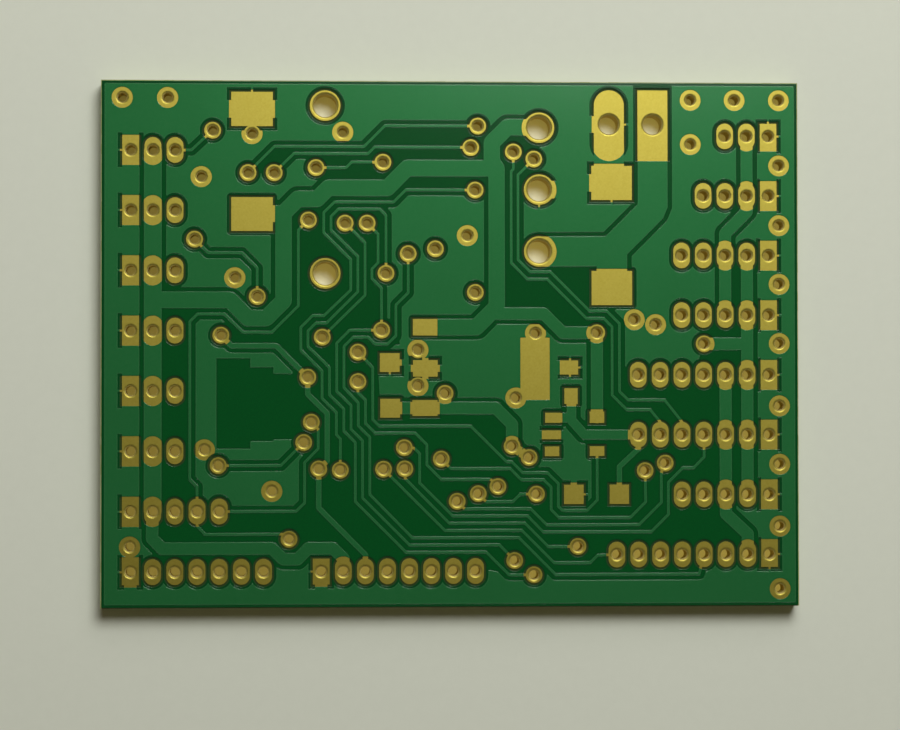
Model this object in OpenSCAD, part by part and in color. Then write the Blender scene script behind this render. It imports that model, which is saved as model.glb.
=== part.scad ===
// Bare two-layer circuit board: a drilled glass laminate with etched copper on both faces, plated
// holes for rows of header pins, wires and vias, and a solder mask with an opening at every land.
// The origin is at the middle of the underside, +Z up, +X along the long side. Millimetres.

/* [Board] */
// Length of the board
board_w = 39.7; // [36:0.1:60]
// Depth of the board
board_d = 29.9; // [27:0.1:45]
// Thickness of the glass laminate
core_t = 1.5; // [0.6:0.1:2.4]

/* [Copper] */
// Thickness of the finished copper
copper_t = 0.05; // [0.035:0.005:0.1]
// Gap kept between the copper of two nets
gap = 0.25; // [0.15:0.01:0.3]
// Copper held back from the edge of the board
edge_gap = 0.2; // [0.1:0.05:0.5]
// Narrowest neck that a pour keeps
pour_neck = 0.12; // [0.05:0.01:0.2]
// Width of a signal track
track_w = 0.15; // [0.1:0.01:0.2]
// Width of a track that carries supply current
feed_w = 0.3; // [0.2:0.01:0.35]
// Width of the supply strip through the left headers
column_w = 1; // [0.8:0.01:1.1]
// Width of the wide supply strips
strip_w = 0.94; // [0.6:0.01:1]
// Width of the narrow supply strips
lane_w = 0.7; // [0.5:0.01:0.8]
// Width of the regulator's switching strip
link_w = 0.55; // [0.4:0.01:0.7]
// Width of the fine spokes that tie a ground land to its pour
spoke_w = 0.11; // [0.08:0.01:0.3]
// Width of the spokes on the rear face
rear_spoke_w = 0.3; // [0.15:0.01:0.5]

/* [Plated holes] */
// Thickness of the plating on a hole's wall
plating_t = 0.04; // [0.02:0.005:0.06]
// Radius of the rounded knee at a hole's mouth
knee_r = 0.08; // [0.05:0.01:0.09]
// Bore of a via
via_bore = 0.52; // [0.3:0.01:0.65]
// Width of the round land of a via
via_land = 0.95; // [0.85:0.01:1.1]

/* [Headers] */
// Distance between two pins of a header
pitch = 1.25; // [1:0.01:1.5]
// Bore of a header hole
pin_bore = 0.55; // [0.4:0.01:0.65]
// Width of a header land
pin_land_w = 0.95; // [0.85:0.01:0.99]
// Length of a header land
pin_land_l = 1.46; // [1.2:0.01:1.8]

/* [Wire holes] */
// Bore of the switch and power holes
wire_bore = 1.3; // [1:0.05:1.45]
// Width of the round land at a switch or power hole
wire_land = 1.74; // [1.65:0.01:2]
// Distance between two power holes
power_pitch = 3.53; // [2.6:0.01:3.8]
// Distance between the two battery holes
battery_pitch = 2.5; // [2.2:0.01:3]
// Bore of the battery holes
battery_bore = 1.1; // [0.8:0.05:1.4]
// Width of a battery land
battery_land_w = 1.72; // [1.6:0.01:1.9]
// Length of a battery land
battery_land_l = 3.92; // [3:0.01:4.2]

/* [Solder mask] */
// Thickness of the mask over the copper
mask_t = 0.02; // [0.01:0.005:0.04]
// Gap between a land and the edge of its mask opening
mask_gap = 0.125; // [0.05:0.005:0.15]
// Sink of the mask where no copper lies under it
mask_sink = 0.012; // [0.005:0.001:0.018]
// Mask held back from the edge of the board
mask_edge = 0.05; // [0.02:0.01:0.08]

/* [Hidden] */
$fn = 32;

core_z = mask_t + copper_t;
top_z = core_z + core_t;

// Layout points are given on the drawing of a 39.7 by 29.9 board, from its lower left corner, and
// stretch with the real board.
function at(x, y) = [x * board_w / 39.7, y * board_d / 29.9];

// Headers: first pin, pins, and the way the row runs. The first pin is the square ground land.
row_step = 3.41;
LEFT_PINS = [3, 3, 3, 3, 3, 3, 5, 7];
RIGHT_PINS = [3, 4, 5, 5, 7, 7, 5, 8];
function left_pin(row, pin) = at(1.68, 25.92 - row_step * row) + [pitch * pin, 0];
function right_pin(row, pin) = at(38, 26.82 - row_step * row) - [pitch * pin, 0];
function front_pin(pin) = at(12.44, 2.05) + [pitch * pin, 0];

// Wire holes
SWITCH_HOLES = [at(12.67, 28.48), at(12.67, 18.94)];
POWER_HOLES = [for (i = [1, 0, -1]) at(24.85, 23.74) + [0, power_pitch * i]];
BATTERY_MINUS = at(28.85, 27.47);
BATTERY_PLUS = BATTERY_MINUS + [battery_pitch, 0];

SIGNAL_VIAS = [
  at(6.3, 27.05), at(8.3, 24.65), at(9.78, 24.65), at(12.15, 24.95), at(15.95, 25.27),
  at(21.35, 27.35), at(20.95, 26.12), at(21.2, 23.7), at(23.38, 25.88), at(24.55, 25.48),
  at(5.28, 20.87), at(8.82, 17.62), at(11.72, 21.97), at(13.8, 21.8), at(15.05, 21.8),
  at(17.38, 20.07), at(18.93, 20.35), at(16.12, 18.95), at(21.2, 17.87), at(6.77, 15.43),
  at(12.5, 15.32), at(15.87, 15.72), at(14.52, 14.47), at(14.52, 12.8), at(11.68, 13.05),
  at(11.88, 10.5), at(11.45, 9.35), at(6.62, 8.05), at(17.15, 9.05), at(12.3, 7.85),
  at(13.52, 7.78), at(15.97, 7.83), at(17.18, 7.85), at(19.25, 8.4), at(22.47, 6.83),
  at(21.35, 6.43), at(24.67, 6.4), at(20.15, 6), at(10.62, 3.88), at(23.42, 2.63),
  at(24.52, 1.82), at(27.03, 3.42), at(32.03, 8.15), at(30.88, 7.72)
];

// Bus lanes: tracks that run side by side, one lane_step apart
lane_step = 0.41;
function lane(first, n) = first + lane_step * n;

// Signal tracks, each from one land to another
TRACKS = [
  [left_pin(0, 2), at(5.1, 25.92), at(6.3, 27.05)],
  [at(8.3, 24.65), at(9.8, 26.15), at(14.87, 26.15), at(16.07, 27.35), at(21.35, 27.35)],
  [at(9.78, 24.65), at(10.9, 25.75), at(15.1, 25.75), at(15.48, 26.13), at(20.95, 26.13)],
  [at(12.15, 24.95), at(13.85, 24.95), at(14.17, 25.27), at(15.95, 25.27)],
  [at(21.2, 23.7), at(17.25, 23.7), at(16.55, 23), at(13.2, 23), at(12.59, 22.4), at(12.59, 21.25),
   at(14.12, 19.72), at(14.12, 18), at(12.6, 16.54), at(11.95, 16.54), at(11.29, 15.88),
   at(11.29, 14.6), at(12.49, 13.4), at(12.49, 11.85), at(13.3, 11.05), at(13.3, 9.8), at(13.53, 9.55),
   at(13.52, 7.78)],
  [at(16.12, 18.95), at(16.12, 22.25), at(15.77, 22.6), at(13.42, 22.6), at(13, 22.18), at(13, 21.4),
   at(14.52, 19.9), at(14.52, 17.9), at(12.75, 16.13), at(12.15, 16.13), at(11.69, 15.67),
   at(11.69, 14.8), at(12.91, 13.6), at(12.91, 12.05), at(13.72, 11.25), at(13.72, 10),
   at(14.37, 9.35), at(14.37, 6), at(17.25, lane(3.12, 0)), at(21.8, lane(3.12, 0)), at(23.1, 1.82),
   at(24.52, 1.82)],
  [at(13.8, 21.8), at(14.93, 20.68), at(14.93, 17.7), at(12.5, 15.32)],
  [at(15.05, 21.8), at(15.67, 21.18), at(15.67, 19.55), at(15.32, 19.2), at(15.32, 18.65),
   at(15.86, 18.1), at(15.87, 15.72)],
  [at(15.87, 15.72), at(14.05, 15.72), at(13.32, 14.98), at(13.32, 12.25), at(14.13, 11.45),
   at(14.13, 10.1), at(14.78, 9.45), at(14.78, 6.2), at(17.45, lane(3.12, 1)), at(22.55, lane(3.12, 1)),
   at(23.42, 2.63)],
  [at(17.38, 20.07), at(17.38, 17.85), at(16.68, 17.15), at(16.68, 15.4), at(16.2, 14.93),
   at(15.5, 14.93), at(15.1, 15.32), at(14.25, 15.32), at(13.73, 14.8), at(13.73, 12.45),
   at(14.54, 11.6), at(14.54, 10.3), at(15.19, 9.65), at(15.19, 6.4), at(17.6, lane(3.12, 2)),
   at(23.65, lane(3.12, 2)), at(25.75, 1.83), at(33.95, 1.83), right_pin(7, 3)],
  [at(14.52, 14.47), at(15.36, 13.6), at(15.36, 10.65), at(15.73, 10.28), at(20.92, 10.28),
   at(22.95, 8.25), at(23.25, 8.25), at(23.88, 7.62), at(25.28, 7.62), at(25.91, 7), at(25.91, 5.7),
   at(26.15, 5.47), at(27.55, 5.47), at(28.13, 6.05), at(28.13, 8.83)],
  [at(14.52, 12.8), at(14.52, 12.17), at(14.95, 11.75), at(14.95, 10.43), at(15.5, 9.88),
   at(17.77, 9.88), at(18.43, 9.22), at(18.43, 8.07), at(19.25, 7.25), at(22.05, 7.25), at(22.47, 6.83)],
  [at(17.15, 9.05), at(17.7, 9.03), at(18.02, 8.72), at(18.02, 7.05), at(19.9, lane(3.12, 5)),
   at(24.15, lane(3.12, 5)), at(25.05, 4.25), at(31.22, 4.25), at(32.2, 5.22), at(32.2, 7.05),
   at(33.03, 7.88), at(33.65, 7.88), at(34.26, 8.5), right_pin(5, 3)],
  [at(15.97, 7.83), at(19.45, lane(3.12, 3)), at(23.82, lane(3.12, 3)), at(25.67, 2.5), at(27.72, 2.5),
   at(28.15, 2.92), right_pin(7, 7)],
  [at(17.18, 7.85), at(17.2, 7.3), at(19.7, lane(3.12, 4)), at(24, lane(3.12, 4)), at(25.33, 3.42),
   at(27.03, 3.42)],
  [at(20.15, 6), at(20.57, lane(3.12, 6)), at(24.32, lane(3.12, 6)), at(25.25, 4.65), at(30.52, 4.65),
   at(31.8, 5.92), at(31.8, 7.6), at(32.03, 8.15)],
  [at(21.35, 6.43), at(21.8, 5.98), at(23.32, 5.98), at(23.74, 6.4), at(24.67, 6.4)],
  [at(19.25, 8.4), at(19.8, 7.86), at(23.17, 7.86), at(23.8, 7.22), at(25.07, 7.22), at(25.5, 6.8),
   at(25.5, 5.52), at(25.95, 5.06), at(30.02, 5.06), at(30.9, 5.94), at(30.88, 7.72)],
  [at(11.72, 21.97), at(11.15, 21.4), at(11.15, 17.1), at(9.65, 15.6), at(8.02, 15.6), at(6.97, 16.63),
   at(5.45, 16.63), at(5.02, 16.2), at(5.02, 7.3), at(5.43, 6.88), left_pin(6, 3)],
  [left_pin(6, 3), at(5.43, 4.65), at(5.9, 4.17), at(10.33, 4.17), at(10.62, 3.88)],
  [left_pin(6, 4), at(11.02, 5.46), at(11.5, 5.94), at(11.5, 8.22), at(12.27, 9), at(12.27, 10.1),
   at(11.88, 10.5)],
  [at(6.62, 8.05), at(10.15, 8.05), at(11.45, 9.35)],
  [at(23.38, 25.88), at(23.38, 24.9), at(23.25, 24.77), at(23.25, 19.55), at(24.17, 18.63),
   at(25.3, 18.63), at(27.53, 16.4), at(28.52, 16.4), at(29, 15.92), at(29, 12.02), at(29.83, 11.2),
   at(31.17, 11.2), right_pin(5, 5) + [0, 0.72]],
  [at(24.55, 25.48), at(23.64, 24.57), at(23.64, 19.73), at(24.32, 19.05), at(25.48, 19.05),
   at(27.71, 16.82), at(28.7, 16.82), at(29.42, 16.1), at(29.42, 12.23), at(29.92, 11.75),
   at(32, 11.75), right_pin(5, 4) + [0, 0.72]],
  [at(5.28, 20.87), at(6.05, 20.1), at(7.97, 20.1), at(8.82, 19.25), at(8.82, 17.62)]
];

// Feed tracks
FEEDS = [
  [at(6.77, 15.43), at(7.36, 14.83), at(9.9, 14.83), at(11.68, 13.05)],
  [at(11.68, 13.05), at(11.68, 12.08), at(12.78, 11), at(12.78, 8.3), at(12.3, 7.85)],
  [at(12.3, 7.85), at(12.3, 5.65), front_pin(2) + [0, 0.95], front_pin(2)],
  [at(29.4, 6.4), at(29.4, 7.95), right_pin(5, 6) - [0, 0.8], right_pin(5, 6)]
];

// Supply strips, each as its points and its width
SUPPLY_STRIPS = [
  [[left_pin(0, 1), left_pin(6, 1)], column_w],
  [[left_pin(6, 1), at(2.9, 3.95), at(3.47, 3.37), at(9.65, 3.37), at(10.3, 2.75), at(11.1, 2.75),
    at(11.7, 3.36), at(13.1, 3.36), front_pin(1) + [0, 0.75], front_pin(1)], lane_w],
  [[at(2.93, 17.43), at(7.28, 17.43), at(8.3, 16.4), at(9.33, 16.4), at(10.31, 17.38),
    at(10.31, 22.35), at(11.12, 23.17), at(12.22, 23.17), at(12.85, 23.8), at(16.2, 23.8),
    at(17.33, 24.94), at(22.42, 24.94)], strip_w],
  [[at(8.9, 22.33), at(10.31, 22.33)], strip_w],
  [[at(22.42, 24.94), at(22.15, 25.3), at(22.15, 26.4), at(23.05, 27.3), POWER_HOLES[0]], strip_w],
  [[at(22.42, 24.94), at(22.42, 17.06), at(21.25, 15.89), at(18.2, 15.89)], strip_w],
  [[at(22.42, 16.66), at(25.1, 16.66), at(26.18, 15.58), at(28.13, 15.58)], lane_w],
  [[at(28.13, 15.58), at(28.13, 10.77)], lane_w]
];
REGULATOR_STRIPS = [
  [[at(16.5, 11.3), at(22.35, 11.3), at(23.28, 10.37), at(23.28, 9.12)], lane_w],
  [[at(19.47, 12.13), at(19.47, 11.3)], lane_w],
  [[at(23.28, 9.12), at(24.25, 8.48)], link_w]
];
SWITCHING_STRIPS = [
  [[at(25.7, 10.74), at(26.67, 10.74)], link_w],
  [[at(26.67, 11.8), at(26.67, 10.6), at(27.4, 9.78), right_pin(5, 6)], link_w]
];
OUTER_STRIPS = [
  [[right_pin(0, 1), right_pin(1, 1), right_pin(1, 1) - [0, 0.9], right_pin(2, 2) + [0, 1.25],
    right_pin(3, 2)], lane_w]
];
MIDDLE_STRIPS = [
  [[right_pin(2, 1), right_pin(6, 1)], lane_w],
  [[at(34.28, 14.95), at(36.75, 14.95)], lane_w]
];
INNER_STRIPS = [
  [[right_pin(4, 2), right_pin(6, 2), right_pin(6, 2) - [0, 1.1], right_pin(7, 1) + [0, 1.15],
    right_pin(7, 1)], lane_w]
];
BATTERY_AREA = [
  BATTERY_PLUS - [0.86, 1.7], at(30.49, 22.93), at(28.64, 21.08), POWER_HOLES[2] + [0, 0.85],
  POWER_HOLES[2] - [0, 0.86], at(28.13, 19.37), at(28.13, 18.5), at(29.88, 18.5), at(29.88, 20.05),
  at(31.95, 22.12), at(32.21, 22.75), BATTERY_PLUS + [0.86, -1.7]
];

// Ground vias, which the ground pour joins all round, and vias on the supply strips
GROUND_VIAS = [
  at(1.2, 28.9), at(3.76, 28.9), at(8.53, 26.87), at(13.67, 26.973), at(5.66, 24.42), at(20.75, 21.11),
  at(7.56, 18.69), at(5.843, 8.95), at(9.65, 6.6), at(1.64, 3.47), at(33.52, 28.88), at(36.05, 28.88),
  at(38.6, 28.88), at(33.52, 26.35), at(38.6, 25.14), at(38.6, 21.72), at(38.6, 18.36),
  at(38.6, 14.97), at(38.6, 11.41), at(38.6, 8.08), at(38.6, 4.55), at(38.6, 0.98), at(30.28, 16.33),
  at(31.5, 16.05), at(17.93, 14.6), at(17.93, 12.57), at(24.63, 15.55), at(23.5, 11.87)
];
SUPPLY_VIAS = [at(28.13, 15.58), at(19.47, 12.13), at(23.28, 9.12), at(24.25, 8.48), at(34.28, 14.95)];

// Surface lands: centre and size
SUPPLY_PADS = [
  [at(8.53, 22.3), [2.35, 1.92]], [at(18.28, 15.89), [1.27, 0.94]], [at(28.13, 10.77), [0.83, 0.65]]
];
REGULATOR_PADS = [[at(16.35, 11.29), [1.12, 1.07]], [at(18.33, 11.3), [1.42, 0.9]]];
SWITCHING_PADS = [[at(26.65, 11.97), [0.76, 0.9]], [at(25.6, 10.74), [0.85, 0.57]]];
BATTERY_PADS = [[at(29, 18.13), [2.32, 1.95]]];
LOOSE_PADS = [
  [at(25.56, 8.83), [0.82, 0.55]], [at(28.13, 8.84), [0.83, 0.55]], [at(29.4, 6.38), [1.1, 1.1]]
];
// Ground lands stand in a thermal frame: centre, size, and spoke widths to the right, top, left, bottom
GROUND_PADS = [
  [at(8.53, 28.27), [2.35, 1.95], [1, spoke_w, 1, 0]],
  [at(29, 24.13), [2.32, 1.95], [0, 0, 1, spoke_w]],
  [at(16.33, 13.88), [1.12, 1.07], [0.35, 0, 0, spoke_w]],
  [at(18.35, 13.55), [1.4, 0.94], [0.4, 0.35, 0.4, 0.35]],
  [at(26.6, 13.6), [0.92, 0.8], [spoke_w, spoke_w, 0.8, spoke_w]],
  [at(25.53, 9.77), [0.85, 0.5], [0.5, 0, 0.5, 0]],
  [at(26.8, 6.38), [1.12, 1.1], [spoke_w, 0.35, 0, 0]]
];
// The land under the regulator's tab is plain pour
TAB_PADS = [[at(24.6, 13.53), [1.42, 3.3]]];

// Bare areas: no pour runs here, because a track would cut it off from the ground vias
BARE_AREAS = [
  [at(15.6, 27.3), at(14.6, 26), at(9.3, 26), at(8.6, 24.65), at(9.5, 24.65), at(11, 25.6), at(12.1, 25.5),
   at(12.1, 24.5), at(16, 24.4), at(17.2, 25.5), at(21.6, 25.5), at(21.6, 27.3)],
  [at(17, 24.4), at(17, 23.8), at(21.1, 23.7), at(21.8, 23.3), at(21.9, 24.4)],
  [at(22.7, 26.7), at(22.7, 24.9), at(23.8, 24), at(24.4, 24.4), at(25, 24.9), at(25.1, 25.6),
   at(24.5, 26.3), at(23.9, 26.7)],
  [at(3.3, 16.9), at(3.3, 3.7), at(9.7, 3.6), at(10.5, 3), at(11.6, 3.7), at(13.7, 3.7), at(14.2, 2.2),
   at(21.4, 2.2), at(23, 1.9), at(25.8, 1.8), at(34.2, 1.8), at(34.6, 2.5), at(36.7, 2.6),
   at(36.6, 4), at(35.4, 5.3), at(35.4, 13.1), at(36.7, 13.1), at(36.7, 14.8), at(34.6, 14.9),
   at(34, 14.2), at(34, 13.4), at(29.8, 13.4), at(29.3, 14), at(29.3, 16), at(28.2, 17.1),
   at(28.2, 19.3), at(23, 19.3), at(23, 17), at(25.3, 16.9), at(26.4, 15.9), at(28.3, 15.8),
   at(28.3, 9.3), at(28, 8.8), at(28, 5.8), at(26, 5.8), at(26, 7.1), at(25.4, 7.7), at(24, 7.7),
   at(23.3, 9.1), at(23, 11.2), at(15.8, 11.2), at(15.6, 14.7), at(16.9, 14.9), at(16.7, 16.3),
   at(16.1, 16.4), at(15.9, 17), at(15.9, 19), at(16.1, 22.7), at(15.9, 23), at(12.9, 23), at(11.4, 22.6),
   at(10.8, 22), at(10.8, 17.2), at(9.5, 15.9), at(7.9, 15.9), at(7, 16.8), at(5, 16.8), at(4.9, 7),
   at(5.4, 5.5), at(11.3, 5.6), at(11.4, 8.4), at(12, 9.2), at(11.2, 9.8), at(11.2, 13.3),
   at(10, 14.7), at(9.9, 15.1), at(7.3, 15), at(7, 16.6)],
  [at(34.4, 15.3), at(36.5, 15.3), at(36.5, 15.95), at(34.4, 15.95)],
  [at(3.6, 18.1), at(3.9, 18.1), at(3.9, 18.35), at(3.6, 18.35)],
  [at(6.52, 9), at(6.52, 14.12), at(8.43, 14.12), at(8.43, 13.62), at(9.73, 13.62), at(9.73, 13.25),
   at(11.6, 13.25), at(11.6, 9.52), at(9.73, 9.52), at(9.73, 9.42), at(8.43, 9.42), at(8.43, 9)]
];

// A track or strip: straight runs with eased joints
module run(points, width) {
  for (i = [1 : len(points) - 1]) {
    a = points[i - 1];
    d = points[i] - a;
    translate(a) rotate(atan2(d.y, d.x)) translate([0, -width / 2]) square([norm(d), width]);
  }
  for (p = points) translate(p) circle(d = width, $fn = width > 0.5 ? 16 : 8);
}

module strips(list) for (s = list) run(s[0], s[1]);

// A land with round ends
module oblong(w, l) {
  square([w, l - w], center = true);
  for (s = [-1, 1]) translate([0, s * (l - w) / 2]) circle(d = w);
}

// A header land, grown by some amount: pin 0 is square, the rest are oblong
module pin_land(pin, grow) {
  w = pin_land_w + 2 * grow;
  l = pin_land_l + 2 * grow;
  if (pin == 0) square([w, l], center = true);
  else oblong(w, l);
}

module round_lands(places, width) for (p = places) translate(p) circle(d = width);

module pad(size, grow) square(size + 2 * [grow, grow], center = true);

module pads(list, grow) for (p = list) translate(p[0]) pad(p[1], grow);

module plus_land(grow) pad([battery_land_w, battery_land_l], grow);

module minus_land(grow) oblong(battery_land_w + 2 * grow, battery_land_l + 2 * grow);

// Lands round a plated hole, on the ground net and on the other nets
module ground_plated(grow) {
  for (row = [0 : 7]) {
    for (p = [left_pin(row, 0), right_pin(row, 0)]) translate(p) pin_land(0, grow);
  }
  translate(front_pin(0)) pin_land(0, grow);
  translate(POWER_HOLES[1]) circle(d = wire_land + 2 * grow);
  translate(BATTERY_MINUS) minus_land(grow);
  round_lands(GROUND_VIAS, via_land + 2 * grow);
}

module other_plated(grow) {
  for (row = [0 : 7]) {
    for (pin = [1 : LEFT_PINS[row] - 1]) translate(left_pin(row, pin)) pin_land(pin, grow);
    for (pin = [1 : RIGHT_PINS[row] - 1]) translate(right_pin(row, pin)) pin_land(pin, grow);
  }
  for (pin = [1 : 7]) translate(front_pin(pin)) pin_land(pin, grow);
  round_lands(concat(SIGNAL_VIAS, SUPPLY_VIAS), via_land + 2 * grow);
  round_lands(concat(SWITCH_HOLES, [POWER_HOLES[0], POWER_HOLES[2]]), wire_land + 2 * grow);
  translate(BATTERY_PLUS) plus_land(grow);
}

// Strips that cross or meet become one outline
module joined() offset(delta = 0.01) offset(delta = -0.01) children();

// Nets of the upper face without their plated lands
module tracks_flat() joined() for (t = TRACKS) run(t, track_w);

module feeds_flat() joined() for (t = FEEDS) run(t, feed_w);

module supply_flat() joined() {
  strips(SUPPLY_STRIPS);
  pads(SUPPLY_PADS, 0);
}

module regulator_flat() joined() {
  strips(REGULATOR_STRIPS);
  pads(REGULATOR_PADS, 0);
}

module switching_flat() joined() {
  strips(SWITCHING_STRIPS);
  pads(SWITCHING_PADS, 0);
}

module battery_flat() joined() {
  polygon(BATTERY_AREA);
  pads(BATTERY_PADS, 0);
}

module outer_flat() joined() strips(OUTER_STRIPS);

module middle_flat() joined() strips(MIDDLE_STRIPS);

module inner_flat() joined() strips(INNER_STRIPS);

module other_nets() {
  tracks_flat();
  feeds_flat();
  supply_flat();
  regulator_flat();
  switching_flat();
  battery_flat();
  outer_flat();
  middle_flat();
  inner_flat();
}

// The gap round a ground land, less the spokes that tie the land to its pour. The children are the
// gap's outer and inner outlines; the spoke widths go to the right, top, left and bottom.
module frame(widths) difference() {
  children(0);
  children(1);
  for (i = [0 : 3]) {
    if (widths[i] > 0) rotate(90 * i) translate([0, -widths[i] / 2]) square([4, widths[i]]);
  }
}

module pin_frame(widths) frame(widths) {
  pin_land(0, gap);
  pin_land(0, 0);
}

module power_frame(widths) frame(widths) {
  circle(d = wire_land + 2 * gap);
  circle(d = wire_land);
}

module minus_frame(widths) frame(widths) {
  minus_land(gap);
  minus_land(0);
}

module upper_frames() {
  for (row = [0 : 7]) {
    foot = row == 7 ? 0.7 : pin_land_w;
    translate(left_pin(row, 0)) pin_frame([0, pin_land_w, spoke_w, foot]);
    top = row == 0 ? spoke_w : pin_land_w;
    bottom = row == 7 ? spoke_w : pin_land_w;
    translate(right_pin(row, 0)) pin_frame([spoke_w, top, 0, bottom]);
  }
  translate(front_pin(0)) pin_frame([0, 0, spoke_w, 0.7]);
  translate(POWER_HOLES[1]) power_frame([1, 0, 0, spoke_w]);
  translate(BATTERY_MINUS) minus_frame([spoke_w, 0, 0.95, battery_land_w]);
  difference() {
    for (p = GROUND_PADS) translate(p[0]) frame(p[2]) {
      pad(p[1], gap);
      pad(p[1], 0);
    }
    translate(BATTERY_MINUS) pad([battery_land_w, 6], 0);
  }
}

module lower_frames() {
  w = rear_spoke_w;
  for (row = [0 : 7]) {
    translate(left_pin(row, 0)) pin_frame([0, w, w, w]);
    translate(right_pin(row, 0)) pin_frame([w, w, 0, w]);
  }
  translate(front_pin(0)) pin_frame([0, w, w, w]);
  translate(POWER_HOLES[1]) power_frame([w, w, w, w]);
  translate(BATTERY_MINUS) minus_frame([w, w, w, w]);
}

module board_outline(inset) {
  translate([inset, inset]) square([board_w - 2 * inset, board_d - 2 * inset]);
}

// The pour fills what the other nets leave, without slivers. It is drawn a little too close to the
// round lands, whose gaps are then cut as true circles.
module pour_flat() difference() {
  offset(r = pour_neck / 2, $fn = 8) offset(delta = -pour_neck / 2) difference() {
    board_outline(edge_gap);
    offset(r = gap, $fn = 16) {
      other_nets();
      pads(LOOSE_PADS, 0);
    }
    other_plated(gap - 0.02, $fn = 12);
    for (area = BARE_AREAS) polygon(area);
  }
  other_plated(gap);
  upper_frames();
}

// The plane on the lower face, open round every hole of another net
module plane_flat() difference() {
  board_outline(edge_gap);
  other_plated(gap);
  lower_frames();
}

// Drawn from the lower left corner, placed on the middle of the board at a height
module on_board(z) translate([-board_w / 2, -board_d / 2, z]) children();

module upper_copper() color("goldenrod") on_board(top_z) linear_extrude(copper_t) difference() {
  children();
  other_plated(0);
  pads(LOOSE_PADS, 0);
}

// The wall and collars of a plated hole, with a rounded knee at each mouth
module barrel(bore, collar) {
  h = core_t + 2 * copper_t;
  rotate_extrude() translate([bore / 2, 0]) difference() {
    union() {
      square([plating_t, h]);
      for (z = [0, h - copper_t]) translate([0, z]) square([(collar - bore) / 2, copper_t]);
    }
    difference() {
      square([knee_r, knee_r]);
      translate([knee_r, knee_r]) circle(r = knee_r);
    }
    translate([0, h - knee_r]) difference() {
      square([knee_r, knee_r]);
      translate([knee_r, 0]) circle(r = knee_r);
    }
  }
}

// A plated hole with a flat land of another shape round its collars
module shaped_hole(bore, land) {
  collar = (bore + 2 * knee_r + land) / 2;
  barrel(bore, collar);
  for (z = [0, core_t + copper_t]) translate([0, 0, z]) linear_extrude(copper_t) difference() {
    children();
    circle(d = collar);
  }
}

module header(places) color("gold") on_board(mask_t) {
  for (pin = [0 : len(places) - 1]) {
    translate(places[pin]) shaped_hole(pin_bore, pin_land_w) pin_land(pin, 0);
  }
}

module left_header(row) header([for (pin = [0 : LEFT_PINS[row] - 1]) left_pin(row, pin)]);

module right_header(row) header([for (pin = [0 : RIGHT_PINS[row] - 1]) right_pin(row, pin)]);

module front_header() header([for (pin = [0 : 7]) front_pin(pin)]);

module vias(places) color("gold") on_board(mask_t) {
  for (p = places) translate(p) barrel(via_bore, via_land);
}

module switch_lands() color("gold") on_board(mask_t) {
  for (p = SWITCH_HOLES) translate(p) barrel(wire_bore, wire_land);
}

module power_lands() color("gold") on_board(mask_t) {
  for (p = POWER_HOLES) translate(p) barrel(wire_bore, wire_land);
}

module battery_lands() color("gold") on_board(mask_t) {
  translate(BATTERY_MINUS) shaped_hole(battery_bore, battery_land_w) minus_land(0);
  translate(BATTERY_PLUS) shaped_hole(battery_bore, battery_land_w) plus_land(0);
}

module laminate() color("khaki") on_board(core_z) linear_extrude(core_t) difference() {
  board_outline(0);
  pin_drill = pin_bore + 2 * plating_t;
  for (row = [0 : 7]) {
    for (pin = [0 : LEFT_PINS[row] - 1]) translate(left_pin(row, pin)) circle(d = pin_drill);
    for (pin = [0 : RIGHT_PINS[row] - 1]) translate(right_pin(row, pin)) circle(d = pin_drill);
  }
  for (pin = [0 : 7]) translate(front_pin(pin)) circle(d = pin_drill);
  round_lands(concat(SIGNAL_VIAS, SUPPLY_VIAS, GROUND_VIAS), via_bore + 2 * plating_t);
  round_lands(concat(SWITCH_HOLES, POWER_HOLES), wire_bore + 2 * plating_t);
  round_lands([BATTERY_MINUS, BATTERY_PLUS], battery_bore + 2 * plating_t);
}

module ground_pour() color("goldenrod") on_board(top_z) linear_extrude(copper_t) difference() {
  pour_flat();
  ground_plated(0);
}

module rear_ground_plane() color("goldenrod") on_board(mask_t) linear_extrude(copper_t) difference() {
  plane_flat();
  ground_plated(0);
}

module component_lands() color("gold") on_board(top_z) linear_extrude(copper_t) pads(LOOSE_PADS, 0);

// Openings in the mask
module plated_openings() {
  ground_plated(mask_gap);
  other_plated(mask_gap);
}

module surface_openings() {
  pads(concat(SUPPLY_PADS, REGULATOR_PADS, SWITCHING_PADS, BATTERY_PADS, LOOSE_PADS), mask_gap);
  pads(concat(GROUND_PADS, TAB_PADS), mask_gap);
}

// The mask over both kinds of ground: bare laminate and copper
module top_solder_mask() color("green", 0.8) on_board(top_z) difference() {
  linear_extrude(copper_t + mask_t) difference() {
    board_outline(mask_edge);
    plated_openings();
    surface_openings();
  }
  translate([0, 0, -1]) linear_extrude(1 + copper_t) {
    pour_flat();
    other_nets();
  }
  translate([0, 0, copper_t + mask_t - mask_sink]) linear_extrude(1) difference() {
    board_outline(-1);
    pour_flat();
    other_nets();
  }
}

module rear_solder_mask() color("green", 0.8) on_board(0) {
  linear_extrude(mask_t) difference() {
    board_outline(mask_edge);
    plated_openings();
  }
  translate([0, 0, mask_t]) linear_extrude(copper_t) difference() {
    board_outline(mask_edge);
    plane_flat();
    plated_openings();
  }
}

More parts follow.
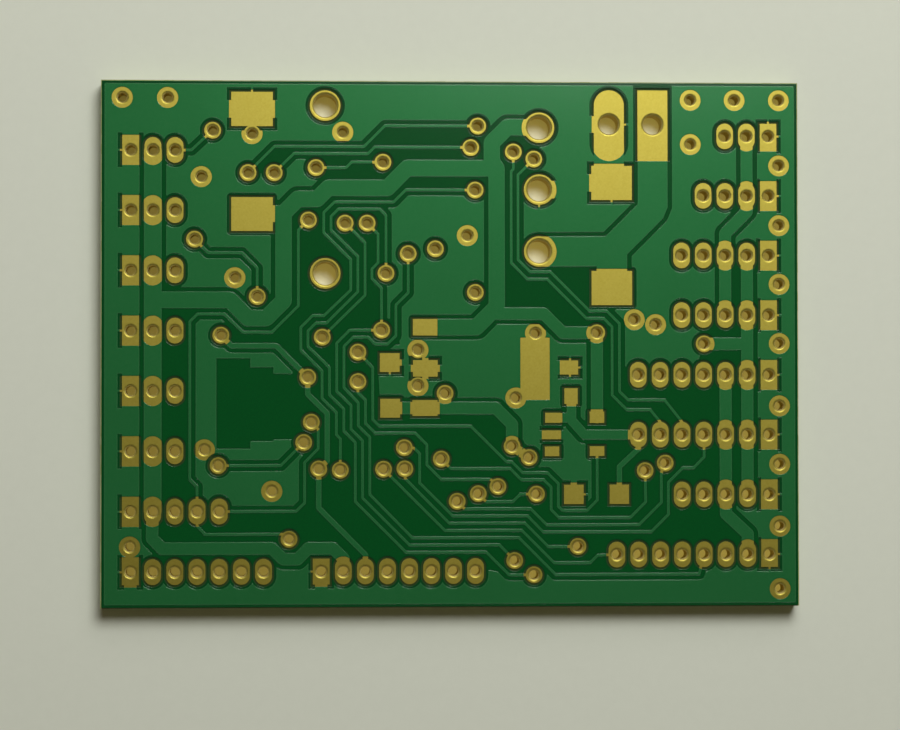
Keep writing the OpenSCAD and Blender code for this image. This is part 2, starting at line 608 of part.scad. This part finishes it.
laminate();
ground_pour();
upper_copper() supply_flat();  // supply_strip
upper_copper() regulator_flat();  // regulator_strip
upper_copper() switching_flat();  // switching_strip
upper_copper() battery_flat();  // battery_strip
upper_copper() outer_flat();  // outer_strip
upper_copper() middle_flat();  // middle_strip
upper_copper() inner_flat();  // inner_strip
upper_copper() tracks_flat();  // signal_tracks
upper_copper() feeds_flat();  // feed_tracks
component_lands();
for (row = [0 : 7]) left_header(row);
for (row = [0 : 7]) right_header(row);
front_header();
vias(SIGNAL_VIAS);  // signal_vias
vias(SUPPLY_VIAS);  // supply_vias
vias(GROUND_VIAS);  // ground_vias
switch_lands();
power_lands();
battery_lands();
rear_ground_plane();
top_solder_mask();
rear_solder_mask();
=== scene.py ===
import bmesh
import bpy
from mathutils import Euler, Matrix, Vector


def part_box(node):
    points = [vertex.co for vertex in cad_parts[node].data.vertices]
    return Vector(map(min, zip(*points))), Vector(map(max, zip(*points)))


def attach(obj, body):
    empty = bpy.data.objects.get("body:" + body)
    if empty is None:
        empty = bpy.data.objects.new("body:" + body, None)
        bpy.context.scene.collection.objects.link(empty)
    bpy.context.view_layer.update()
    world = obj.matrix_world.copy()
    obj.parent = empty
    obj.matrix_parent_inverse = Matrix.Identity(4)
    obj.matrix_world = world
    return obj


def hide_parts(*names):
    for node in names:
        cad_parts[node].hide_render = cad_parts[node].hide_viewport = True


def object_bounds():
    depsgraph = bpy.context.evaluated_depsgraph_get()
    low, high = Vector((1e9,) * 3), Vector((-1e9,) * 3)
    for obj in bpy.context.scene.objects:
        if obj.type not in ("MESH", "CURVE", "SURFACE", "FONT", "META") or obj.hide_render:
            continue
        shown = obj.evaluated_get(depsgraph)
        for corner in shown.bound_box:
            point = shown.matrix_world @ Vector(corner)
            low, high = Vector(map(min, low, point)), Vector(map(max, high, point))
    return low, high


print("frame: loading the packed board")
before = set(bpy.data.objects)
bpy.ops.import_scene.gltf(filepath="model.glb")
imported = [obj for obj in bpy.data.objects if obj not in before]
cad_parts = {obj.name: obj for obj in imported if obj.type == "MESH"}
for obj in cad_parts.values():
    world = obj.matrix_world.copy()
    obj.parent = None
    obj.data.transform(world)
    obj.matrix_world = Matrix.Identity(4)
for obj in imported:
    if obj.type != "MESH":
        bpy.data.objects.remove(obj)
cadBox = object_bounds()
mm = 0.001


def hexColour(code):
    # sRGB hex to the linear colour a socket wants
    parts = [int(code[i:i + 2], 16) / 255 for i in (0, 2, 4)]
    return [c / 12.92 if c <= 0.04045 else ((c + 0.055) / 1.055) ** 2.4 for c in parts] + [1]


def addNode(tree, kind, links=(), inputs=(), **settings):
    # one node: its settings, the values of its sockets, and what feeds them
    node = tree.nodes.new(kind)
    for name, value in settings.items():
        setattr(node, name, value)
    for name, value in dict(inputs).items():
        node.inputs[name].default_value = value
    for name, source in dict(links).items():
        tree.links.new(source, node.inputs[name])
    return node


def newMaterial(name, viewport):
    material = bpy.data.materials.new(name)
    material.use_nodes = True
    material.node_tree.nodes.clear()
    material.diffuse_color = hexColour(viewport)
    return material, material.node_tree


def closeMaterial(tree, shader):
    addNode(tree, "ShaderNodeOutputMaterial", {"Surface": shader.outputs["BSDF"]})


def addObject(name, data):
    holder = bpy.data.objects.new(name, data)
    bpy.context.scene.collection.objects.link(holder)
    return holder


# Liquid solder mask, a clear green epoxy film printed wet over the etched copper and cured by light. It is
# thin and bright on the copper and sinks and darkens where it fills the gaps down to the laminate; where
# the gaps are narrow channels it is darkened further with painted shade. Its edges and its narrow ridges
# over single tracks are drawn a lighter grey, partly the thin film and partly a painted highlight. Its
# depth is read by looking inward from its surface, as the share of directions that are still open at reach.
solderMask = {
    "overCopper": "1A6534",
    "cloudy": "175F2F",
    # lighter grey on edges and narrow ridges over copper: partly thin film, partly painted highlight
    "ridgeSheen": "5A9463",
    "overLaminate": "03521F",
    # painted shade: the film in narrow channels between copper
    "channelShade": "063C1C",
    "cloudSize": 4 * mm,
    "cloudDetail": 3,
    "cloudBreakUp": 0.55,
    "reach": 0.12 * mm,
    "thinShare": 0.03,
    "deepShare": 0.3,
    "lookSamples": 8,
    "sink": 0.012 * mm,
    "roundedEdge": 0.04 * mm,
    "edgeSamples": 4,
    "metalGlow": 0.27,
    "satin": 0.35,
    "filmGloss": 0.12,
}
# the film below is flat and thinner than the rounding: it gets no painted highlight on its ridges, and only
# darkens where it fills a gap in the copper
solderMaskBelow = dict(solderMask, ridgeSheen=solderMask["overLaminate"], roundedEdge=0)


def buildSolderMask(values, name, height):
    # height is the film's top over copper; what has sunk below it lies over laminate
    material, tree = newMaterial(name, values["overCopper"])
    place = addNode(tree, "ShaderNodeTexCoord")
    heights = addNode(tree, "ShaderNodeSeparateXYZ", {"Vector": place.outputs["Object"]})
    onCopper = addNode(
        tree, "ShaderNodeMath", {0: heights.outputs["Z"]}, {1: height - values["sink"] / 2},
        operation="GREATER_THAN")
    inside = addNode(
        tree, "ShaderNodeAmbientOcclusion", inputs={"Distance": values["reach"]},
        inside=True, only_local=True, samples=values["lookSamples"])
    deep = addNode(
        tree, "ShaderNodeMapRange", {"Value": inside.outputs["AO"]},
        {"From Min": values["thinShare"], "From Max": values["deepShare"], "To Min": 0, "To Max": 1})
    clouds = addNode(
        tree, "ShaderNodeTexNoise", {"Vector": place.outputs["Object"]},
        {"Scale": 1 / values["cloudSize"], "Detail": values["cloudDetail"],
         "Roughness": values["cloudBreakUp"]})
    copperTone = addNode(
        tree, "ShaderNodeMix", {0: clouds.outputs[0]},
        {6: hexColour(values["overCopper"]), 7: hexColour(values["cloudy"])}, data_type="RGBA")
    # over copper: lighter grey at edges and narrow ridges, partly thin film, partly painted highlight
    ridgeSheenTone = addNode(
        tree, "ShaderNodeMix", {0: deep.outputs["Result"], 6: copperTone.outputs[2]},
        {7: hexColour(values["ridgeSheen"])}, data_type="RGBA")
    # over laminate: painted shade in narrow channels, the plain film tone where the gap is wide
    channelShadeTone = addNode(
        tree, "ShaderNodeMix", {0: deep.outputs["Result"]},
        {6: hexColour(values["channelShade"]), 7: hexColour(values["overLaminate"])}, data_type="RGBA")
    tone = addNode(
        tree, "ShaderNodeMix",
        {0: onCopper.outputs[0], 6: channelShadeTone.outputs[2], 7: ridgeSheenTone.outputs[2]}, data_type="RGBA")
    metal = addNode(
        tree, "ShaderNodeMath", {0: onCopper.outputs[0]}, {1: values["metalGlow"]}, operation="MULTIPLY")
    rounded = addNode(
        tree, "ShaderNodeBevel", inputs={"Radius": values["roundedEdge"]}, samples=values["edgeSamples"])
    shader = addNode(
        tree, "ShaderNodeBsdfPrincipled",
        {"Base Color": tone.outputs[2], "Metallic": metal.outputs[0],
         "Normal": rounded.outputs["Normal"], "Coat Normal": rounded.outputs["Normal"]},
        {"Roughness": values["satin"], "Specular IOR Level": 0, "Coat Weight": 1,
         "Coat Roughness": values["filmGloss"]})
    closeMaterial(tree, shader)
    return material


# Electroless nickel under immersion gold, on etched copper: a satin, slightly greenish gold with a fine
# mottled grain, drawn coarser than the copper's own so that it shows. In a hole it lies over drilled glass
# cloth, so the wall is rough and scatters light, and a lip goes over from one finish to the other. The wall
# and lip are drawn a pale cream, partly the rough plating's own tone and partly painted light that
# brightens the crescents at the mouths and the shaded bore.
goldPlating = {
    "gold": "9B9040",
    "grain": "877A2B",
    "grainSize": 0.12 * mm,
    "grainDetail": 4,
    "grainBreakUp": 0.6,
    "satin": 0.42,
    # pale cream of steep walls and lips: partly the plating's tone, partly painted light
    "wall": "D2C278",
    "wallMatt": 0.8,
    "wallMetal": 0.4,
    "wallLean": 0.4,  # upright part of the normal at which the wall's finish is full
}


def buildGold(values):
    material, tree = newMaterial("immersionGoldOverNickel", values["gold"])
    place = addNode(tree, "ShaderNodeTexCoord")
    grain = addNode(
        tree, "ShaderNodeTexNoise", {"Vector": place.outputs["Object"]},
        {"Scale": 1 / values["grainSize"], "Detail": values["grainDetail"],
         "Roughness": values["grainBreakUp"]})
    face = addNode(
        tree, "ShaderNodeMix", {0: grain.outputs[0]},
        {6: hexColour(values["gold"]), 7: hexColour(values["grain"])}, data_type="RGBA")
    surface = addNode(tree, "ShaderNodeNewGeometry")
    facing = addNode(tree, "ShaderNodeSeparateXYZ", {"Vector": surface.outputs["Normal"]})
    level = addNode(tree, "ShaderNodeMath", {0: facing.outputs["Z"]}, operation="ABSOLUTE")
    flat = addNode(
        tree, "ShaderNodeMapRange", {"Value": level.outputs[0]},
        {"From Min": values["wallLean"], "From Max": 1})
    matt = addNode(
        tree, "ShaderNodeMapRange", {"Value": flat.outputs["Result"]},
        {"To Min": values["wallMatt"], "To Max": values["satin"]})
    metal = addNode(
        tree, "ShaderNodeMapRange", {"Value": flat.outputs["Result"]},
        {"To Min": values["wallMetal"], "To Max": 1})
    # steep faces take the pale wall tone: partly the rough plating, partly painted light on the crescents
    # and the shaded bore
    tone = addNode(
        tree, "ShaderNodeMix", {0: flat.outputs["Result"], 7: face.outputs[2]},
        {6: hexColour(values["wall"])}, data_type="RGBA")
    shader = addNode(
        tree, "ShaderNodeBsdfPrincipled",
        {"Base Color": tone.outputs[2], "Metallic": metal.outputs["Result"],
         "Roughness": matt.outputs["Result"]})
    closeMaterial(tree, shader)
    return material


# Glass cloth set in epoxy resin. The routed edge shows the cut yarns, ply on ply, in pale resin that is a
# little green. A thin rim of the top face at the sides and the back is drawn in the same pale plies, a
# painted glow of light along the lit edges, while the front rim keeps the dark face as painted shade.
# Between lands and mask the etched face is dark.
glassLaminate = {
    "yarn": "B0B884",
    "resin": "929F5A",
    "seam": "7A8A44",
    "ply": 0.19 * mm,
    "yarnWidth": 0.55 * mm,
    "seamWidth": 0.012 * mm,
    "face": "2A4010",
    "weaveShade": "1C3410",
    # width of the painted lit rim at the sides and the back
    "litRimWidth": 0.09 * mm,
    "cutFace": 0.002 * mm,
    "rough": 0.6,
    "shine": 0.15,
}


def buildLaminate(values, box):
    material, tree = newMaterial("glassEpoxyLaminate", values["yarn"])
    place = addNode(tree, "ShaderNodeTexCoord")
    position = addNode(tree, "ShaderNodeSeparateXYZ", {"Vector": place.outputs["Object"]})
    # x + y runs along all four edges, and z runs across the plies
    along = addNode(
        tree, "ShaderNodeMath", {0: position.outputs["X"], 1: position.outputs["Y"]}, operation="ADD")
    unrolled = addNode(
        tree, "ShaderNodeCombineXYZ", {"X": along.outputs[0], "Y": position.outputs["Z"]})
    plies = addNode(
        tree, "ShaderNodeTexBrick", {"Vector": unrolled.outputs[0]},
        {"Color1": hexColour(values["yarn"]), "Color2": hexColour(values["resin"]),
         "Mortar": hexColour(values["seam"]), "Scale": 1, "Mortar Size": values["seamWidth"],
         "Mortar Smooth": 1, "Brick Width": values["yarnWidth"], "Row Height": values["ply"]})
    weave = addNode(
        tree, "ShaderNodeTexNoise", {"Vector": place.outputs["Object"]}, {"Scale": 1 / values["yarnWidth"]})
    face = addNode(
        tree, "ShaderNodeMix", {0: weave.outputs[0]},
        {6: hexColour(values["face"]), 7: hexColour(values["weaveShade"])}, data_type="RGBA")
    sideways = addNode(tree, "ShaderNodeMath", {0: position.outputs["X"]}, operation="ABSOLUTE")
    # painted light: a pale rim along the sides and the back; the front rim is left dark as painted shade
    litSideRim = addNode(
        tree, "ShaderNodeMath", {0: sideways.outputs[0]}, {1: box[1][0] - values["litRimWidth"]},
        operation="GREATER_THAN")
    litBackRim = addNode(
        tree, "ShaderNodeMath", {0: position.outputs["Y"]}, {1: box[1][1] - values["litRimWidth"]},
        operation="GREATER_THAN")
    frontCut = addNode(
        tree, "ShaderNodeMath", {0: position.outputs["Y"]}, {1: box[0][1] + values["cutFace"]},
        operation="LESS_THAN")
    litRims = addNode(
        tree, "ShaderNodeMath", {0: litSideRim.outputs[0], 1: litBackRim.outputs[0]}, operation="MAXIMUM")
    # the pale plies: the real cut faces, and the painted lit rims
    pale = addNode(
        tree, "ShaderNodeMath", {0: litRims.outputs[0], 1: frontCut.outputs[0]}, operation="MAXIMUM")
    tone = addNode(
        tree, "ShaderNodeMix", {0: pale.outputs[0], 6: face.outputs[2], 7: plies.outputs["Color"]},
        data_type="RGBA")
    shader = addNode(
        tree, "ShaderNodeBsdfPrincipled", {"Base Color": tone.outputs[2]},
        {"Roughness": values["rough"], "Specular IOR Level": values["shine"]})
    closeMaterial(tree, shader)
    return material


print("materials")
goldFinish = buildGold(goldPlating)
farBelow = -1  # the rear film has no sunk face, so all of it counts as over copper
finishes = {
    "laminate": buildLaminate(glassLaminate, cadBox),
    "top_solder_mask": buildSolderMask(solderMask, "greenSolderMask", cadBox[1][2]),
    "rear_solder_mask": buildSolderMask(solderMaskBelow, "greenSolderMaskBelow", farBelow),
}
for name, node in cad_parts.items():
    node.data.materials.clear()
    node.data.materials.append(finishes.get(name, goldFinish))

print("plated mouths")
# Copper plated into a drilled hole runs round its mouth in a soft lip, so each hole looks dimpled. The
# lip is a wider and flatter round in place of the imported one, and everything else stays where it is.
mouths = {
    "knee": 0.08 * mm,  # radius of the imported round
    "lip": 0.13 * mm,
    "drop": 0.09 * mm,
    "slack": 0.001 * mm,
    "merge": 0.0001 * mm,
    "crease": 0.6,  # radians
    "level": 0.9999,  # upright part of a land's normal
    "through": 1 * mm,  # a plated node that starts lower than this runs through the board
}


def connectedShells(shape):
    # always in the same order, so that every run rounds its sums alike
    reached = set()
    for first in shape.verts:
        if first in reached:
            continue
        reached.add(first)
        shell = [first]
        for vert in shell:
            for edge in vert.link_edges:
                other = edge.other_vert(vert)
                if other not in reached:
                    reached.add(other)
                    shell.append(other)
        yield shell


def widenLips(shell, values, low, high):
    # the bore ends where the knee begins, on one circle of evenly spaced points
    knee, slack = values["knee"], values["slack"]
    start = [v.co.xy for v in shell if abs(v.co.z - (high - knee)) < slack]
    centre = sum(start, Vector((0, 0))) / len(start)
    bore = min((point - centre).length for point in start)
    middle = (low + high) / 2
    for vert in shell:
        out = vert.co.xy - centre
        side = 1 if vert.co.z > middle else -1
        depth = (high - low) / 2 - side * (vert.co.z - middle)
        across = out.length - bore
        onRound = abs(Vector((across - knee, depth - knee)).length - knee) < slack
        if onRound and max(across, depth) < knee + slack:
            vert.co.xy = centre + out.normalized() * (bore + across * values["lip"] / knee)
            vert.co.z += side * depth * (1 - values["drop"] / knee)


def buildPlatedHoles(values, name, node, finish):
    shape = bmesh.new()
    shape.from_mesh(node.data)
    bmesh.ops.remove_doubles(shape, verts=shape.verts, dist=values["merge"])
    low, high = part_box(name)
    for shell in connectedShells(shape):
        widenLips(shell, values, low[2], high[2])
    mesh = bpy.data.meshes.new(name + "_plated")
    for face in shape.faces:
        face.smooth = True
    shape.to_mesh(mesh)
    shape.free()
    mesh.set_sharp_from_angle(angle=values["crease"])
    # a land stays flat to the eye right up to its lip
    normals = [corner.vector.copy() for corner in mesh.corner_normals]
    for face in mesh.polygons:
        if abs(face.normal.z) > values["level"]:
            for corner in face.loop_indices:
                normals[corner] = face.normal
    mesh.normals_split_custom_set(normals)
    mesh.materials.append(finish)
    piece = addObject(name + "_plated", mesh)
    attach(piece, "root")
    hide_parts(name)


for name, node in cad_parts.items():
    if name.endswith(("_vias", "_lands")) or "_header" in name:
        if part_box(name)[0][2] < mouths["through"]:
            buildPlatedHoles(mouths, name, node, goldFinish)

print("studio")
# Matt drawing paper with a faint fibre. Light that the plated holes guide down to it is too faint a path
# for the renderer to find, so the sheet glows a little where it is seen through them, and more towards
# the right and the front: the slope is the gain per metre. Beyond the pool of light that the lamps make,
# the sheet shows the camera and polished surfaces a pale backdrop.
paper = {
    "colour": "D7DBCC",
    "fibre": "D1D5C6",
    "fibreSize": 0.7 * mm,
    "fibreDetail": 5,
    "fibreBreakUp": 0.7,
    "matt": 0.9,
    "size": 4000 * mm,
    "guided": "FFE26C",
    "glow": 0.178,
    "glowSlope": (2, -3, 0),
    "inset": 0.4 * mm,
    "backdrop": "E0E3D8",
    "farGlow": 0.6,
    "pool": (0, 60 * mm, 0),
    "farFrom": 105 * mm,
    "farTo": 300 * mm,
}


def buildFloor(values, box):
    half = values["size"] / 2
    corners = [(-half, -half, 0), (half, -half, 0), (half, half, 0), (-half, half, 0)]
    mesh = bpy.data.meshes.new("paperSheet")
    mesh.from_pydata(corners, [], [(0, 1, 2, 3)])
    floor = addObject("paperSheet", mesh)
    material, tree = newMaterial("matteDrawingPaper", values["colour"])
    place = addNode(tree, "ShaderNodeTexCoord")
    fibres = addNode(
        tree, "ShaderNodeTexNoise", {"Vector": place.outputs["Object"]},
        {"Scale": 1 / values["fibreSize"], "Detail": values["fibreDetail"],
         "Roughness": values["fibreBreakUp"]})
    tone = addNode(
        tree, "ShaderNodeMix", {0: fibres.outputs[0]},
        {6: hexColour(values["colour"]), 7: hexColour(values["fibre"])}, data_type="RGBA")
    away = addNode(
        tree, "ShaderNodeVectorMath", {0: place.outputs["Object"]}, {1: values["pool"]},
        operation="DISTANCE")
    far = addNode(
        tree, "ShaderNodeMapRange", {"Value": away.outputs["Value"]},
        {"From Min": values["farFrom"], "From Max": values["farTo"], "To Max": values["farGlow"]})
    outward = addNode(tree, "ShaderNodeVectorMath", {0: place.outputs["Object"]}, operation="ABSOLUTE")
    spot = addNode(tree, "ShaderNodeSeparateXYZ", {"Vector": outward.outputs[0]})
    under = [
        addNode(tree, "ShaderNodeMath", {0: spot.outputs[axis]}, {1: box[1][axis] - values["inset"]},
                operation="LESS_THAN")
        for axis in (0, 1)]
    underBoard = addNode(
        tree, "ShaderNodeMath", {0: under[0].outputs[0], 1: under[1].outputs[0]}, operation="MULTIPLY")
    rays = addNode(tree, "ShaderNodeLightPath")
    seen = addNode(
        tree, "ShaderNodeMath", {0: rays.outputs["Is Camera Ray"], 1: rays.outputs["Is Glossy Ray"]},
        operation="MAXIMUM")
    backdrop = addNode(
        tree, "ShaderNodeMath", {0: far.outputs["Result"], 1: seen.outputs[0]}, operation="MULTIPLY")
    slope = addNode(
        tree, "ShaderNodeVectorMath", {0: place.outputs["Object"]}, {1: values["glowSlope"]},
        operation="DOT_PRODUCT")
    guided = addNode(
        tree, "ShaderNodeMath", {0: slope.outputs["Value"]}, {1: values["glow"]}, operation="ADD")
    glow = addNode(
        tree, "ShaderNodeMath", {0: underBoard.outputs[0], 1: guided.outputs[0], 2: backdrop.outputs[0]},
        operation="MULTIPLY_ADD")
    glowTone = addNode(
        tree, "ShaderNodeMix", {0: underBoard.outputs[0]},
        {6: hexColour(values["backdrop"]), 7: hexColour(values["guided"])}, data_type="RGBA")
    shader = addNode(
        tree, "ShaderNodeBsdfPrincipled",
        {"Base Color": tone.outputs[2], "Emission Strength": glow.outputs[0],
         "Emission Color": glowTone.outputs[2]},
        {"Roughness": values["matt"]})
    closeMaterial(tree, shader)
    mesh.materials.append(material)


buildFloor(paper, cadBox)

# two soft round lamps aimed at the board: places and sizes in millimetres, power in watts
lamps = {
    "window": {"place": (30, 96, 193), "size": 105, "power": 0.31},
    "sky": {"place": (36, 140, 165), "size": 180, "power": 0.12},
}
for name, lamp in lamps.items():
    light = bpy.data.lights.new(name, "AREA")
    light.shape = "DISK"
    light.size = lamp["size"] * mm
    light.energy = lamp["power"]
    holder = addObject(name, light)
    holder.location = Vector(lamp["place"]) * mm
    holder.rotation_euler = (-holder.location).to_track_quat("-Z", "Y").to_euler()

# The room: pale walls low down, a dark ceiling overhead. Polished surfaces see the walls about as bright
# as the backdrop, and the camera sees the backdrop itself. Heights run from 0, level, to 1, overhead.
room = {
    "walls": "D7C399",
    "wallLight": 0.2,
    "wallTop": 0.3,
    "ceilingLight": 0.05,
    "wallShine": 0.8,
    "shineFrom": 0.35,
    "shineTo": 0.75,
    "backdrop": "E0E3D8",
    "backdropLight": 0.7,
}


def buildRoom(values):
    world = bpy.data.worlds.new("room")
    world.use_nodes = True
    sky = world.node_tree
    place = addNode(sky, "ShaderNodeTexCoord")
    heights = addNode(sky, "ShaderNodeSeparateXYZ", {"Vector": place.outputs["Generated"]})
    light = addNode(
        sky, "ShaderNodeMapRange", {"Value": heights.outputs["Z"]},
        {"From Min": values["wallTop"], "From Max": 1,
         "To Min": values["wallLight"], "To Max": values["ceilingLight"]})
    rays = addNode(sky, "ShaderNodeLightPath")
    low = addNode(
        sky, "ShaderNodeMapRange", {"Value": heights.outputs["Z"]},
        {"From Min": values["shineFrom"], "From Max": values["shineTo"], "To Min": 1, "To Max": 0})
    mirrored = addNode(
        sky, "ShaderNodeMath", {0: low.outputs["Result"], 1: rays.outputs["Is Glossy Ray"]},
        operation="MULTIPLY")
    shine = addNode(
        sky, "ShaderNodeMath", {0: mirrored.outputs[0]}, {1: values["wallShine"]}, operation="MULTIPLY")
    shown = addNode(
        sky, "ShaderNodeMath", {0: rays.outputs["Is Camera Ray"]}, {1: values["backdropLight"]},
        operation="MULTIPLY")
    walls = addNode(
        sky, "ShaderNodeMath", {0: light.outputs["Result"], 1: shine.outputs[0]}, operation="MAXIMUM")
    strength = addNode(
        sky, "ShaderNodeMath", {0: walls.outputs[0], 1: shown.outputs[0]}, operation="MAXIMUM")
    pale = addNode(
        sky, "ShaderNodeMath", {0: rays.outputs["Is Camera Ray"], 1: mirrored.outputs[0]},
        operation="MAXIMUM")
    tint = addNode(
        sky, "ShaderNodeMix", {0: pale.outputs[0]},
        {6: hexColour(values["walls"]), 7: hexColour(values["backdrop"])}, data_type="RGBA")
    background = sky.nodes["Background"]
    sky.links.new(tint.outputs[2], background.inputs["Color"])
    sky.links.new(strength.outputs[0], background.inputs["Strength"])
    bpy.context.scene.world = world


buildRoom(room)

print("camera")
# place in millimetres, turn in radians
view = {
    "place": (-9.34, -4.968, 171.75),
    "turn": (0.02214, -0.05425, -0.00128),
    "lens": 120,
    "sensor": 36,
    "near": 1 * mm,
}
camera = bpy.data.cameras.new("camera")
camera.lens = view["lens"]
camera.sensor_width = view["sensor"]
camera.clip_start = view["near"]
cameraHolder = addObject("camera", camera)
cameraHolder.location = Vector(view["place"]) * mm
cameraHolder.rotation_euler = Euler(view["turn"])
bpy.context.scene.camera = cameraHolder
bpy.context.scene.view_settings.view_transform = "Standard"
